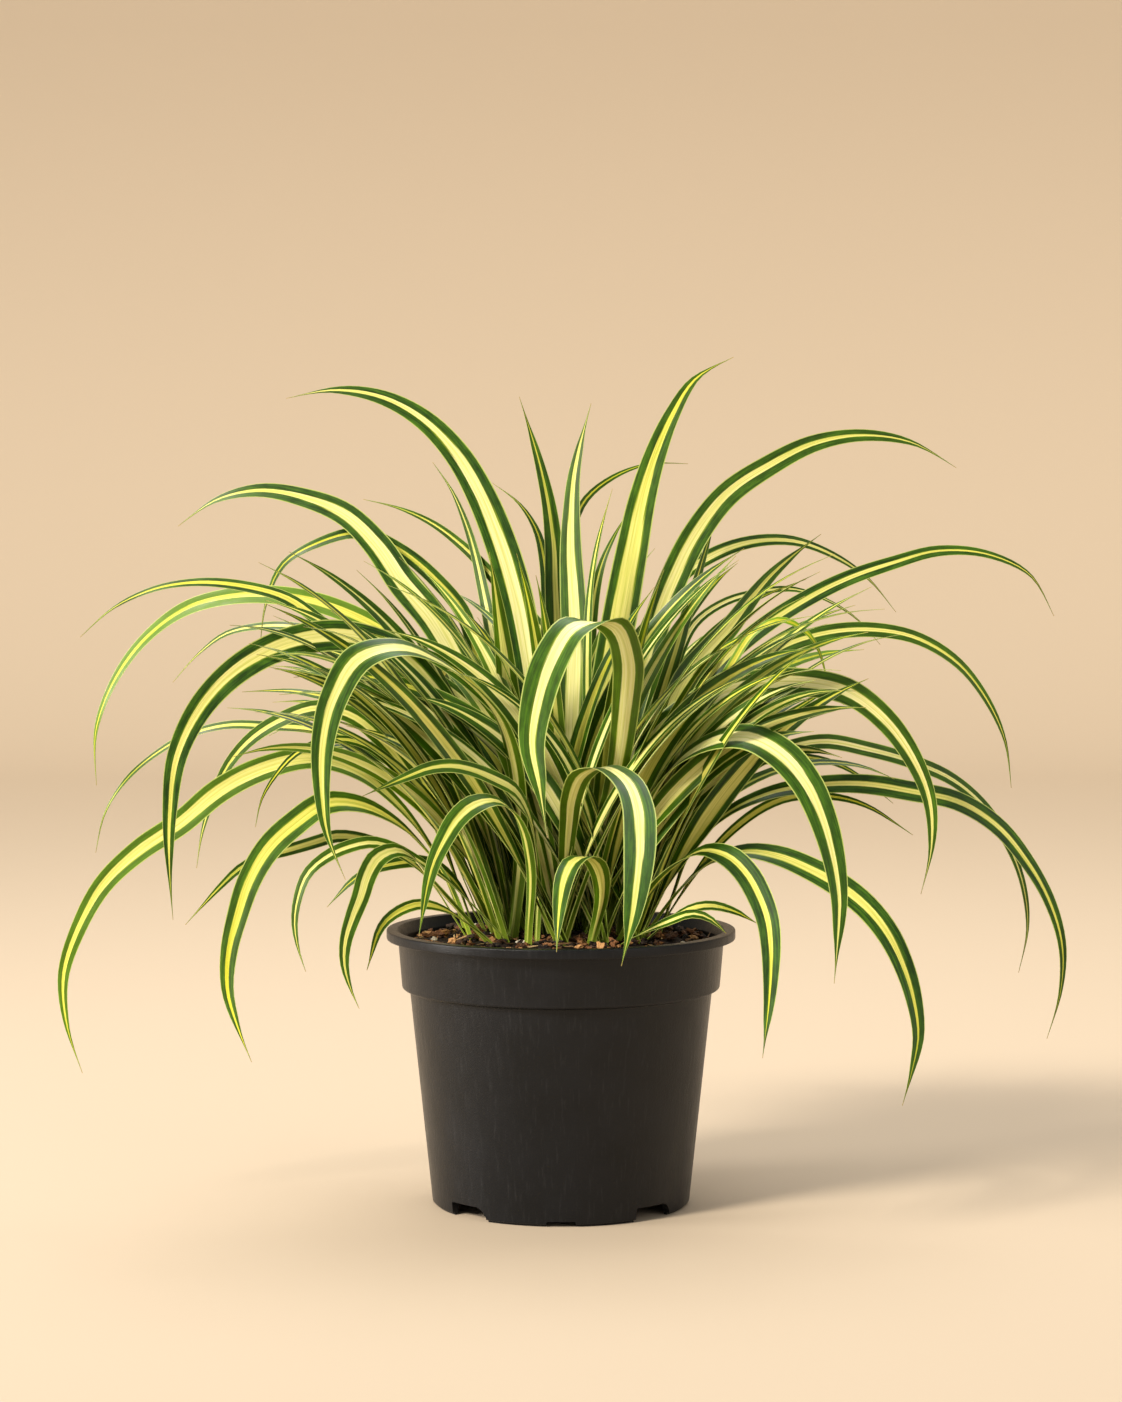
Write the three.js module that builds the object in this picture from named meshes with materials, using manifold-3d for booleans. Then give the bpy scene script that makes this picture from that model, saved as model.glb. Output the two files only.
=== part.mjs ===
// A potted carex: a variegated sedge growing from potting mix in a round plastic nursery pot.
// Units are millimetres. +Z is up, +X is the plant's right and -Y its front.
// The origin is the centre of the pot's base, on the surface that it stands on.

import * as THREE from "three";
import { mergeVertices } from "three/addons/utils/BufferGeometryUtils.js";
import Module from "manifold-3d";

// ---- Driving dimensions ---------------------------------------------------------------------

// Pot: a two-litre nursery container, thin moulded plastic.
const POT_HEIGHT = 134;
const RIM_RADIUS = 85; // outside of the rolled lip
const RIM_OPENING = 79.8; // inside edge of the lip's flat top
const LIP_HEIGHT = 4.6;
const BAND_TOP_RADIUS = 79.4; // the wider band under the lip
const BAND_FOOT_RADIUS = 77.4;
const BAND_FOOT_Z = 105.5;
const STEP_RADIUS = 73.7; // top of the tapered wall, under the band
const WALL_FOOT_RADIUS = 62.8;
const WALL = 1.8;
const FOOT_HEIGHT = 1.2; // narrow ring that touches the ground
const FOOT_INSET = 1.5;
const FLOOR_UNDERSIDE = 7;
const FLOOR = 1.8;
const POT_SEGMENTS = 64;

// Drainage: tall notches at the wall's foot between low ones, and a hole in the floor by each tall one.
const TALL_NOTCH = { height: 6.8, width: 23, count: 4, first: 45 };
const LOW_NOTCH = { height: 2.6, width: 14, count: 4, first: 0 };
const NOTCH_DEPTH = 5.4; // how far a notch reaches in from the wall's foot
const DRAIN_HOLE = { radius: 5, ring: 44, count: 4, first: 45 };

// Potting mix: its edge lies under the rim and it mounds up to the clump of leaves.
const MIX_EDGE_Z = 126;
const MIX_CENTRE_Z = 130.5;
const CLUMP_RADIUS = 50;
const GAP = 0.3; // clearance between two pieces that touch

// Leaves: folded blades, thickest at the midrib.
const LEAF_STATIONS = 14;
const BASE_WIDTH_RATIO = 0.38; // width at the soil over the widest width
const WIDEST_AT = 0.5; // share of the length
const WIDEST_AT_FOLDED = 0.7; // the same for a leaf whose outer half folds over and hangs
const TIP_WIDTH = 0.9;
const TAPER_POWER = 1.8; // 1 draws in evenly to the tip, more keeps the blade wide for longer
const BASE_THICKNESS = 1.5;
const TIP_THICKNESS = 0.7;
const BASE_FOLD = 0.36; // depth of the channel over half the width
const TIP_FOLD = 0.1;

const COLOURS = { pot: "#2f2f31", mix: "#35251a", leafGreen: "#5f8a34", leafCream: "#c9cf72" };

// ---- Small helpers --------------------------------------------------------------------------

const wasm = await Module();
wasm.setup();

const degrees = THREE.MathUtils.degToRad;

// A closed three.js geometry as a manifold-3d solid.
function solid(geometry) {
  const bare = geometry.index ? geometry.toNonIndexed() : geometry.clone();
  bare.deleteAttribute("normal");
  bare.deleteAttribute("uv");
  const merged = mergeVertices(bare, 1e-3);
  return new wasm.Manifold(
    new wasm.Mesh({
      numProp: 3,
      vertProperties: new Float32Array(merged.attributes.position.array),
      triVerts: new Uint32Array(merged.index.array),
    }),
  );
}

function geometryOf(manifold) {
  const { vertProperties, triVerts } = manifold.getMesh();
  const geometry = new THREE.BufferGeometry();
  geometry.setAttribute("position", new THREE.BufferAttribute(new Float32Array(vertProperties), 3));
  geometry.setIndex(new THREE.BufferAttribute(new Uint32Array(triVerts), 1));
  geometry.computeVertexNormals();
  return geometry;
}

// Turns a closed outline of [radius, z] points, given anticlockwise, about the Z axis.
function lathe(outline, segments) {
  const points = outline.map(([r, z]) => new THREE.Vector2(r, z));
  return new THREE.LatheGeometry(points, segments).rotateX(Math.PI / 2);
}

// ---- Pot ------------------------------------------------------------------------------------

// The wall's outer radius at a height, between its foot and the band.
function wallRadius(z) {
  const share = (z - FOOT_HEIGHT) / (BAND_FOOT_Z - FOOT_HEIGHT);
  return WALL_FOOT_RADIUS + (STEP_RADIUS - WALL_FOOT_RADIUS) * share;
}

const floorTop = FLOOR_UNDERSIDE + FLOOR;
const lipZ = POT_HEIGHT - LIP_HEIGHT;

const potOutline = [
  [0, FLOOR_UNDERSIDE],
  [WALL_FOOT_RADIUS - 4.2, FLOOR_UNDERSIDE],
  [WALL_FOOT_RADIUS - 3.6, 0.4],
  [WALL_FOOT_RADIUS - 3.2, 0],
  [WALL_FOOT_RADIUS - FOOT_INSET, 0],
  [WALL_FOOT_RADIUS - FOOT_INSET, FOOT_HEIGHT],
  [WALL_FOOT_RADIUS, FOOT_HEIGHT],
  [STEP_RADIUS, BAND_FOOT_Z - 1.2],
  [STEP_RADIUS + 1.2, BAND_FOOT_Z - 0.4],
  [BAND_FOOT_RADIUS - 1, BAND_FOOT_Z],
  [BAND_FOOT_RADIUS, BAND_FOOT_Z + 1.2],
  [BAND_TOP_RADIUS, lipZ],
  [RIM_RADIUS - 0.6, lipZ],
  [RIM_RADIUS, lipZ + 0.7],
  [RIM_RADIUS, POT_HEIGHT - 1.6],
  [RIM_RADIUS - 0.5, POT_HEIGHT - 0.5],
  [RIM_RADIUS - 1.6, POT_HEIGHT],
  [RIM_OPENING + 0.6, POT_HEIGHT],
  [RIM_OPENING - 0.6, POT_HEIGHT - 0.7],
  [BAND_TOP_RADIUS - WALL, lipZ - 0.6],
  [BAND_FOOT_RADIUS - WALL, BAND_FOOT_Z + 1.6],
  [STEP_RADIUS - WALL, BAND_FOOT_Z - 1.6],
  [wallRadius(floorTop + 1) - WALL, floorTop + 1],
  [wallRadius(floorTop) - WALL - 1, floorTop],
  [0, floorTop],
];
let pot = solid(lathe(potOutline, POT_SEGMENTS));

// One notch cutter: a block through the foot of the wall, facing out along +X before it is turned.
function notchCutter({ height, width }, angle) {
  const block = new THREE.BoxGeometry(NOTCH_DEPTH + 4, width, height + 2);
  block.translate(WALL_FOOT_RADIUS + 4 - (NOTCH_DEPTH + 4) / 2, 0, (height + 2) / 2 - 2);
  return solid(block.rotateZ(angle));
}

for (const notch of [TALL_NOTCH, LOW_NOTCH]) {
  for (let i = 0; i < notch.count; i++) {
    const angle = degrees(notch.first + (360 / notch.count) * i);
    pot = pot.subtract(notchCutter(notch, angle));
  }
}

for (let i = 0; i < DRAIN_HOLE.count; i++) {
  const angle = degrees(DRAIN_HOLE.first + (360 / DRAIN_HOLE.count) * i);
  const hole = new THREE.CylinderGeometry(DRAIN_HOLE.radius, DRAIN_HOLE.radius, FLOOR + 2, 16);
  hole.rotateX(Math.PI / 2);
  hole.translate(DRAIN_HOLE.ring * Math.cos(angle), DRAIN_HOLE.ring * Math.sin(angle), floorTop - FLOOR / 2);
  pot = pot.subtract(solid(hole));
}

// ---- Potting mix ----------------------------------------------------------------------------

// Height of the mix's surface at a distance from the axis.
function mixHeight(radius) {
  const share = THREE.MathUtils.smoothstep(radius, CLUMP_RADIUS, RIM_OPENING);
  return MIX_CENTRE_Z + (MIX_EDGE_Z - MIX_CENTRE_Z) * share;
}

const mixTopRadius = BAND_TOP_RADIUS - WALL - GAP - 0.3;
const mixOutline = [
  [0, floorTop + GAP],
  [wallRadius(floorTop) - WALL - 1.6, floorTop + GAP],
  [wallRadius(floorTop + 1) - WALL - GAP - 0.2, floorTop + 1.4],
  [STEP_RADIUS - WALL - GAP - 0.2, BAND_FOOT_Z - 1.4],
  [BAND_FOOT_RADIUS - WALL - GAP - 0.2, BAND_FOOT_Z + 1.9],
  [mixTopRadius, MIX_EDGE_Z - 0.4],
  [70, mixHeight(70)],
  [62, mixHeight(62)],
  [CLUMP_RADIUS, MIX_CENTRE_Z],
  [0, MIX_CENTRE_Z],
];

// ---- Leaves ---------------------------------------------------------------------------------

const soil = MIX_CENTRE_Z + GAP; // where every leaf leaves the mix
const UP = new THREE.Vector3(0, 0, 1);
const FRONT = new THREE.Vector3(0, -1, 0);

// Width along a blade: it widens from its base, then tapers to a fine tip.
function widthAt(share, widest, widestAt) {
  const rise = THREE.MathUtils.smoothstep(share, 0, widestAt);
  const fall = THREE.MathUtils.clamp((share - widestAt) / (1 - widestAt), 0, 1);
  const full = BASE_WIDTH_RATIO + (1 - BASE_WIDTH_RATIO) * rise;
  return Math.max(TIP_WIDTH, widest * full * (1 - Math.pow(fall, TAPER_POWER)));
}

// How far a blade has gone from its base depth to its tip depth: little while it still stands up.
function depthShare(share) {
  return 0.5 * Math.pow(share, 1.5) + 0.5 * THREE.MathUtils.smoothstep(share, 0, 1);
}

// One blade. outline is its run seen from the front, [x, z] from the soil to the tip; depths are
// the Y of its base and its tip; turn is how far its upper face rolls to the front, in degrees.
function leafGeometry(width, turn, [baseY, tipY], outline, widestAt = WIDEST_AT) {
  const flat = new THREE.CatmullRomCurve3(
    outline.map(([x, z]) => new THREE.Vector3(x, 0, z)),
    false,
    "centripetal",
  );
  const run = flat.getSpacedPoints(LEAF_STATIONS * 4).map((p, i, all) => {
    p.y = baseY + (tipY - baseY) * depthShare(i / (all.length - 1));
    return p;
  });
  const curve = new THREE.CatmullRomCurve3(run);
  const spine = curve.getSpacedPoints(LEAF_STATIONS);

  const reach = spine[LEAF_STATIONS].clone().sub(spine[0]).setZ(0).normalize();
  const level = UP.clone().cross(reach); // the blade's width runs this way before it rolls
  const rollSign = level.dot(FRONT) >= 0 ? 1 : -1;

  const positions = [];
  const index = [];
  spine.forEach((point, i) => {
    const share = i / LEAF_STATIONS;
    const tangent = curve.getTangentAt(share);
    const side = level.clone().addScaledVector(tangent, -level.dot(tangent)).normalize();
    const face = tangent.clone().cross(side);
    const roll = degrees(turn) * rollSign * THREE.MathUtils.smoothstep(share, 0, 0.45);
    const across = side.clone().multiplyScalar(Math.cos(roll)).addScaledVector(face, -Math.sin(roll));
    const normal = face.clone().multiplyScalar(Math.cos(roll)).addScaledVector(side, Math.sin(roll));

    const half = widthAt(share, width, widestAt) / 2;
    const thick = THREE.MathUtils.lerp(BASE_THICKNESS, TIP_THICKNESS, share);
    const fold = half * THREE.MathUtils.lerp(BASE_FOLD, TIP_FOLD, Math.min(1, share * 2));
    const corners = [
      point.clone().addScaledVector(across, -half).addScaledVector(normal, fold),
      point.clone().addScaledVector(normal, thick / 2),
      point.clone().addScaledVector(across, half).addScaledVector(normal, fold),
      point.clone().addScaledVector(normal, -thick / 2),
    ];
    // The base is cut level, just clear of the mix.
    if (i === 0) corners.forEach((c) => c.setZ(soil));
    corners.forEach((c) => positions.push(c.x, c.y, c.z));
  });

  // The upper and lower faces split along matching diagonals, so a twisted blade keeps its thickness.
  const ring = 4;
  for (let i = 0; i < LEAF_STATIONS; i++) {
    for (let k = 0; k < ring; k++) {
      const a = i * ring + k;
      const b = i * ring + ((k + 1) % ring);
      if (k < 2) index.push(a, a + ring, b, b, a + ring, b + ring);
      else index.push(a, a + ring, b + ring, a, b + ring, b);
    }
  }
  const last = LEAF_STATIONS * ring;
  index.push(0, 1, 3, 1, 2, 3);
  index.push(last, last + 3, last + 1, last + 1, last + 3, last + 2);

  const geometry = new THREE.BufferGeometry();
  geometry.setAttribute("position", new THREE.Float32BufferAttribute(positions, 3));
  geometry.setIndex(index);
  geometry.computeVertexNormals();
  return geometry;
}

// Every leaf: name, widest width, turn, depths, and its run from the soil to the tip.
const LEAVES = [
  // Tall leaves that stand up from the middle of the clump.
  ["leaf_tall_left_broad", 16.5, 78, [2, 35],
    [[-9, soil], [-12, 190], [-15, 255], [-27, 314], [-51, 365], [-78, 389], [-109, 397], [-136, 393]]],
  ["leaf_tall_left_reaching", 15.5, 75, [24, 70],
    [[-16, soil], [-28, 195], [-44, 246], [-62, 281], [-78, 300], [-104, 333], [-142, 347], [-168, 346], [-194, 330]]],
  ["leaf_tall_left_slender", 8, 75, [36, 100],
    [[-8, soil], [-8, 200], [0, 262], [-24, 292], [-48, 318], [-74, 336], [-102, 344]]],
  ["leaf_tall_left_inner", 8, 65, [36, 95],
    [[-18, soil], [-24, 210], [-40, 300], [-48, 330], [-58, 352], [-66, 363]]],
  ["leaf_tall_centre_back", 9.5, 0, [24, 80],
    [[-3, soil], [-6, 220], [-10, 320], [-20, 340], [-35, 352]]],
  ["leaf_tall_centre_left", 12, 0, [13, 62],
    [[-6, soil], [-1, 220], [-3, 300], [-5, 333], [-11, 362], [-21, 395]]],
  ["leaf_tall_centre", 14.5, 0, [2, 45],
    [[2, soil], [5, 210], [7, 270], [5, 324], [7, 358], [15, 391]]],
  ["leaf_tall_centre_right", 8.5, 0, [-4, 4],
    [[12, soil], [13, 220], [14, 294], [18, 322], [25, 348]]],
  ["leaf_tall_right_slim", 8, 32, [35, 72],
    [[4, soil], [10, 220], [19, 305], [27, 325], [36, 340]]],
  ["leaf_tall_right_broad", 17.5, 70, [13, 28],
    [[6, soil], [14, 200], [28, 280], [38, 333], [44, 358], [61, 396], [72, 407], [85, 413]]],
  ["leaf_tall_right_thread", 6, 65, [24, 88],
    [[8, soil], [4, 240], [2, 312], [12, 343], [25, 354], [40, 361], [65, 362]]],
  ["leaf_high_right_arch", 14, 75, [13, 45],
    [[18, soil], [30, 210], [50, 290], [72, 334], [88, 350], [126, 371], [145, 375], [182, 369], [197, 359]]],
  ["leaf_right_upright_slim", 8.5, 70, [20, 62],
    [[26, soil], [40, 210], [58, 270], [66, 296], [74, 322], [79, 339]]],
  ["leaf_right_upright_broad", 13, 75, [2, 60],
    [[22, soil], [42, 200], [62, 255], [82, 277], [97, 296], [110, 310], [131, 326]]],
  ["leaf_right_thread", 4.5, 65, [32, 80],
    [[14, soil], [40, 220], [70, 270], [98, 292], [125, 303]]],

  // Arching leaves on the left.
  ["leaf_left_far_thread", 7, 70, [2, 30],
    [[-24, soil], [-50, 200], [-90, 258], [-117, 282], [-136, 295], [-154, 300], [-187, 302], [-206, 297], [-222, 289], [-238, 275]]],
  ["leaf_left_far_arch", 10, 75, [13, 75],
    [[-20, soil], [-45, 220], [-75, 268], [-95, 281], [-115, 290], [-150, 296], [-185, 290], [-204, 279], [-219, 262], [-231, 243], [-238, 217], [-237, 198]]],
  ["leaf_left_back_thread", 6.5, 70, [34, 110],
    [[-35, soil], [-60, 220], [-95, 260], [-130, 277], [-147, 279], [-166, 277], [-180, 271], [-191, 261], [-202, 249]]],
  ["leaf_left_back_slim", 8, 75, [39, 72],
    [[-28, soil], [-37, 220], [-48, 284], [-66, 306], [-88, 322], [-105, 327], [-118, 323], [-132, 318], [-144, 306], [-151, 285], [-153, 268]]],
  ["leaf_left_big_arch", 15.5, 75, [-9, -60],
    [[-22, soil], [-40, 215], [-70, 262], [-92, 276], [-112, 277], [-130, 274], [-147, 266], [-163, 253], [-175, 236], [-182, 217], [-184, 196], [-184, 172], [-182, 145]]],
  ["leaf_left_shoulder", 6.5, 70, [24, 90],
    [[-36, soil], [-70, 205], [-100, 238], [-124, 244], [-140, 246], [-164, 245]]],
  ["leaf_left_falling", 8.5, 75, [7, 12],
    [[-42, soil], [-72, 205], [-100, 236], [-116, 241], [-131, 238], [-154, 224], [-163, 213], [-175, 184], [-179, 162]]],
  ["leaf_left_falling_thread", 5, 70, [2, -30],
    [[-36, soil], [-66, 195], [-95, 225], [-117, 226], [-128, 220], [-142, 202], [-146, 186]]],
  ["leaf_left_low_thread", 5, 70, [13, 50],
    [[-32, soil], [-66, 196], [-108, 226], [-152, 231], [-174, 230], [-195, 221], [-217, 204], [-232, 179], [-234, 166]]],
  ["leaf_left_lowest_arch", 12.5, 75, [2, -20],
    [[-47, soil], [-62, 170], [-90, 204], [-112, 216], [-130, 216], [-159, 206], [-183, 187], [-208, 170], [-221, 157], [-230, 142], [-238, 122], [-241, 101], [-231, 66]]],

  // Leaves that come forward on the left.
  ["leaf_front_left_fold", 17, 32, [-20, -135],
    [[-24, soil], [-20, 180], [-28, 236], [-49, 261], [-73, 273], [-91, 270], [-102, 254], [-107, 236], [-108, 218], [-104, 190], [-96, 172]]],
  ["leaf_front_left_low_broad", 13, 52, [-20, -85],
    [[-44, soil], [-56, 162], [-70, 180], [-88, 194], [-108, 199], [-122, 192], [-140, 175], [-147, 161], [-155, 128], [-154, 110], [-143, 82]]],
  ["leaf_front_left_mid", 10.5, 52, [-31, -95],
    [[-12, soil], [-11, 164], [-14, 188], [-21, 205], [-34, 213], [-47, 218], [-60, 218], [-74, 213], [-91, 206]]],
  ["leaf_front_left_short_arch", 11, 32, [-42, -120],
    [[-16, soil], [-15, 172], [-22, 196], [-33, 203], [-45, 198], [-53, 187], [-59, 173], [-64, 145]]],
  ["leaf_front_left_hook", 9.5, 42, [-31, -120],
    [[-36, soil], [-60, 160], [-72, 176], [-81, 178], [-88, 172], [-93, 157], [-98, 142], [-98, 128], [-91, 112]]],
  ["leaf_front_left_thread", 7, 52, [-26, -70],
    [[-26, soil], [-60, 165], [-88, 180], [-104, 177], [-118, 168], [-124, 152], [-124, 138], [-119, 122]]],
  ["leaf_left_low_back_slim", 6.5, 65, [-12, -62],
    [[-46, soil], [-66, 162], [-84, 176], [-106, 182], [-122, 178], [-149, 170], [-166, 154], [-176, 143]]],
  ["leaf_left_low_short", 6.5, 65, [-7, -16],
    [[-36, soil], [-52, 158], [-64, 167], [-84, 166], [-99, 160], [-113, 146]]],
  ["leaf_front_left_edge", 6, 52, [-42, -95],
    [[-32, soil], [-46, 143], [-56, 150], [-68, 153], [-82, 146], [-89, 126]]],

  // Leaves that come straight to the front.
  ["leaf_front_centre_fold", 17, 0, [-8, -150],
    [[-2, soil], [24, 200], [31, 266], [29, 279], [17, 286], [4, 282], [-4, 270], [-10, 253], [-13, 234], [-8, 206], [-6, 192]], WIDEST_AT_FOLDED],
  ["leaf_front_centre_broad", 15, 0, [-22, -185],
    [[2, soil], [3, 180], [8, 212], [17, 219], [26, 217], [33, 209], [35, 196], [34, 178], [31, 160], [26, 140]], WIDEST_AT_FOLDED],
  ["leaf_front_centre_short", 11, 0, [-42, -115],
    [[14, soil], [19, 156], [17, 170], [12, 176], [5, 174], [1, 165], [-1, 152], [-2, 137]]],

  // Arching leaves on the right.
  ["leaf_right_far_arch", 9, 75, [35, 50],
    [[26, soil], [50, 220], [85, 267], [110, 286], [136, 301], [156, 308], [176, 315], [195, 318], [216, 315], [240, 301], [247, 285]]],
  ["leaf_right_outer_arch", 8.5, 75, [13, 20],
    [[38, soil], [60, 215], [95, 262], [124, 276], [152, 279], [169, 277], [186, 269], [199, 259], [211, 242], [218, 227], [222, 201]]],
  ["leaf_right_back_arch", 8.5, 70, [26, 90],
    [[16, soil], [28, 220], [46, 284], [60, 305], [88, 320], [108, 323], [125, 321], [154, 306], [172, 286]]],
  ["leaf_right_back_thread", 5, 65, [35, 130],
    [[32, soil], [50, 230], [70, 282], [94, 294], [124, 297], [156, 281], [168, 268]]],
  ["leaf_right_big_arch", 14.5, 75, [-9, -40],
    [[28, soil], [34, 190], [40, 220], [55, 238], [90, 253], [110, 255], [130, 253], [144, 247], [155, 237], [166, 222], [174, 204], [177, 185], [171, 155]]],
  ["leaf_right_inner_thread", 5, 65, [0, -6],
    [[34, soil], [60, 215], [86, 268], [100, 284], [112, 283], [122, 275], [128, 259], [129, 247]]],
  ["leaf_right_shoulder_slim", 6.5, 65, [20, 60],
    [[34, soil], [60, 195], [88, 222], [104, 230], [118, 238], [128, 244], [142, 248]]],
  ["leaf_right_shoulder_back", 6, 65, [46, 95],
    [[32, soil], [70, 230], [98, 255], [118, 257], [134, 250], [146, 238]]],
  ["leaf_right_low_thread", 5, 65, [35, 60],
    [[42, soil], [85, 205], [118, 214], [142, 209], [168, 190]]],
  ["leaf_right_low_back", 5, 65, [2, 5],
    [[46, soil], [80, 178], [106, 196], [132, 198], [150, 193], [172, 179]]],
  ["leaf_far_right_arch", 10.5, 70, [-9, 10],
    [[48, soil], [68, 180], [98, 199], [124, 204], [143, 205], [165, 201], [182, 200], [210, 186], [227, 167], [236, 152], [244, 135], [246, 119], [245, 100], [239, 78]]],
  ["leaf_far_right_back_slim", 8, 70, [24, 60],
    [[40, soil], [76, 195], [120, 222], [160, 217], [188, 207], [204, 198], [217, 183], [231, 157], [236, 126], [232, 104]]],

  // Leaves that come forward on the right.
  ["leaf_front_right_fold", 17.5, 37, [-20, -110],
    [[22, soil], [34, 175], [43, 198], [52, 214], [74, 229], [91, 230], [104, 222], [115, 208], [122, 190], [127, 162], [124, 122]]],
  ["leaf_front_right_low_broad", 13, 52, [-20, -75],
    [[40, soil], [60, 158], [78, 172], [93, 174], [108, 171], [131, 160], [144, 150], [155, 136], [163, 117], [167, 92], [159, 60]]],
  ["leaf_front_right_hook", 12, 37, [-31, -135],
    [[28, soil], [44, 158], [57, 172], [70, 178], [82, 173], [90, 162], [95, 148], [95, 125], [90, 92]]],
  ["leaf_front_right_short", 6.5, 42, [-42, -70],
    [[28, soil], [52, 144], [62, 148], [70, 146], [77, 140]]],
  ["leaf_front_right_stub", 6.5, 42, [-31, -55],
    [[40, soil], [58, 146], [70, 150], [82, 148], [92, 143]]],

  // Leaves behind the clump.
  ["leaf_back_arch_left", 14.5, 0, [42, 185],
    [[-14, soil], [-22, 220], [-40, 262], [-58, 258], [-70, 228], [-76, 190]]],
  ["leaf_back_arch_centre", 15.5, 0, [46, 160],
    [[-2, soil], [-2, 225], [4, 280], [10, 292], [14, 280], [16, 250]]],
  ["leaf_back_arch_right", 14.5, 0, [44, 175],
    [[20, soil], [34, 215], [58, 250], [76, 246], [88, 220], [94, 180]]],
  ["leaf_back_low", 13, 0, [48, 150],
    [[8, soil], [14, 175], [24, 198], [34, 196], [42, 176], [46, 140]]],
];

// ---- The plant in its pot -------------------------------------------------------------------

const root = new THREE.Group();

function addMesh(name, geometry, colour, roughness) {
  const material = new THREE.MeshStandardMaterial({ color: colour, roughness, metalness: 0 });
  const mesh = new THREE.Mesh(geometry, material);
  mesh.name = name;
  root.add(mesh);
}

addMesh("pot", geometryOf(pot), COLOURS.pot, 0.55);
addMesh("potting_mix", lathe(mixOutline, 40), COLOURS.mix, 0.95);
LEAVES.forEach(([name, width, turn, depths, outline, widestAt], i) => {
  const colour = i % 2 ? COLOURS.leafGreen : COLOURS.leafCream;
  addMesh(name, leafGeometry(width, turn, depths, outline, widestAt), colour, 0.5);
});

export default root;
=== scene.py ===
"""A potted carex: striped, arching sedge leaves in potting mix, in a round nursery pot."""

import math
import random

import bmesh
import bpy
import numpy as np
from mathutils import Matrix, Vector, noise
from mathutils.kdtree import KDTree


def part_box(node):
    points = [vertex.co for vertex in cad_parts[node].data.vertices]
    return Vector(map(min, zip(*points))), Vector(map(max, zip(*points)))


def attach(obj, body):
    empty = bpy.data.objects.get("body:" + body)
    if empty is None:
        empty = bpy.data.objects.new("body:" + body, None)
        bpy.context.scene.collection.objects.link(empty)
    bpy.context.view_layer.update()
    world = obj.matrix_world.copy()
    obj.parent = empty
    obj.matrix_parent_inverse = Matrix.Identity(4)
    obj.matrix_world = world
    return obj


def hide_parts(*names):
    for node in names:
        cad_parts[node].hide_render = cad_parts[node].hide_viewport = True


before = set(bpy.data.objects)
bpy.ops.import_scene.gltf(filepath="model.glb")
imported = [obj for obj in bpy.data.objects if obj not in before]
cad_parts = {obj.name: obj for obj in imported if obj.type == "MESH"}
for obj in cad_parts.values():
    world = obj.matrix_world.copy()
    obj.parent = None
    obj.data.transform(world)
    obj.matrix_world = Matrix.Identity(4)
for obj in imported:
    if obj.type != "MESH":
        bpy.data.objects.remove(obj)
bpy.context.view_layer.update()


# ==== Pot ====
# A thin nursery pot of charcoal polypropylene, injection moulded: a rolled lip, a wide band under it,
# a tapered wall, a raised floor, a foot ring and drainage notches. Lathe outline, notches cut after.

MM = 0.001  # a millimetre in metres

pot_low, pot_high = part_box("pot")
POT_HEIGHT = pot_high.z
RIM_RADIUS = pot_high.x
POT_WALL = 1.8 * MM
LIP_HEIGHT = 4.6 * MM
RIM_OPENING = RIM_RADIUS - 5.2 * MM
BAND_TOP_RADIUS = RIM_RADIUS - 5.6 * MM
BAND_FOOT_RADIUS = RIM_RADIUS - 7.6 * MM
BAND_FOOT_Z = POT_HEIGHT - 28.5 * MM
STEP_RADIUS = RIM_RADIUS - 11.3 * MM
WALL_FOOT_RADIUS = RIM_RADIUS - 22.2 * MM
FOOT_HEIGHT = 1.2 * MM
FOOT_INSET = 1.5 * MM
FLOOR_UNDERSIDE = 7.0 * MM
POT_SEGMENTS = 192
CORNER_SHARE = 0.48  # most of an edge that one rounded corner may take


def fillet(outline, steps=5):
    """The closed outline of (radius, z, corner radius) with each corner rounded to an arc."""
    rounded = []
    count = len(outline)
    for i in range(count):
        corner = Vector(outline[i][:2])
        radius = outline[i][2]
        before = Vector(outline[i - 1][:2]) - corner
        after = Vector(outline[(i + 1) % count][:2]) - corner
        if radius == 0 or before.length < 1e-9 or after.length < 1e-9:
            rounded.append(corner)
            continue
        half_angle = before.angle(after) / 2
        reach = min(radius / math.tan(half_angle), before.length * CORNER_SHARE,
                    after.length * CORNER_SHARE)
        start = corner + before.normalized() * reach
        end = corner + after.normalized() * reach
        for k in range(steps + 1):
            t = k / steps
            rounded.append((1 - t) ** 2 * start + 2 * t * (1 - t) * corner + t ** 2 * end)
    return rounded


def object_from(name, vertices, faces, smooth=True):
    """A new mesh object in the scene."""
    mesh = bpy.data.meshes.new(name)
    mesh.from_pydata([tuple(v) for v in vertices], [], faces)
    mesh.validate()
    if smooth:
        mesh.shade_smooth()
    made = bpy.data.objects.new(name, mesh)
    bpy.context.scene.collection.objects.link(made)
    return made


def lathe(name, outline, segments):
    """A closed outline of (radius, z) turned about Z. Points at radius 0 become single vertices."""
    vertices, rings = [], []
    for point in outline:
        if point[0] < 1e-7:
            rings.append([len(vertices)] * segments)
            vertices.append((0, 0, point[1]))
            continue
        rings.append(list(range(len(vertices), len(vertices) + segments)))
        for k in range(segments):
            angle = 2 * math.pi * k / segments
            vertices.append((point[0] * math.cos(angle), point[0] * math.sin(angle), point[1]))
    faces = []
    for i in range(len(outline)):
        ring, following = rings[i], rings[(i + 1) % len(outline)]
        for k in range(segments):
            m = (k + 1) % segments
            corners = [ring[k], ring[m], following[m], following[k]]
            face = list(dict.fromkeys(corners))
            if len(face) > 2:
                faces.append(face)
    return object_from(name, vertices, faces)


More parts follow.
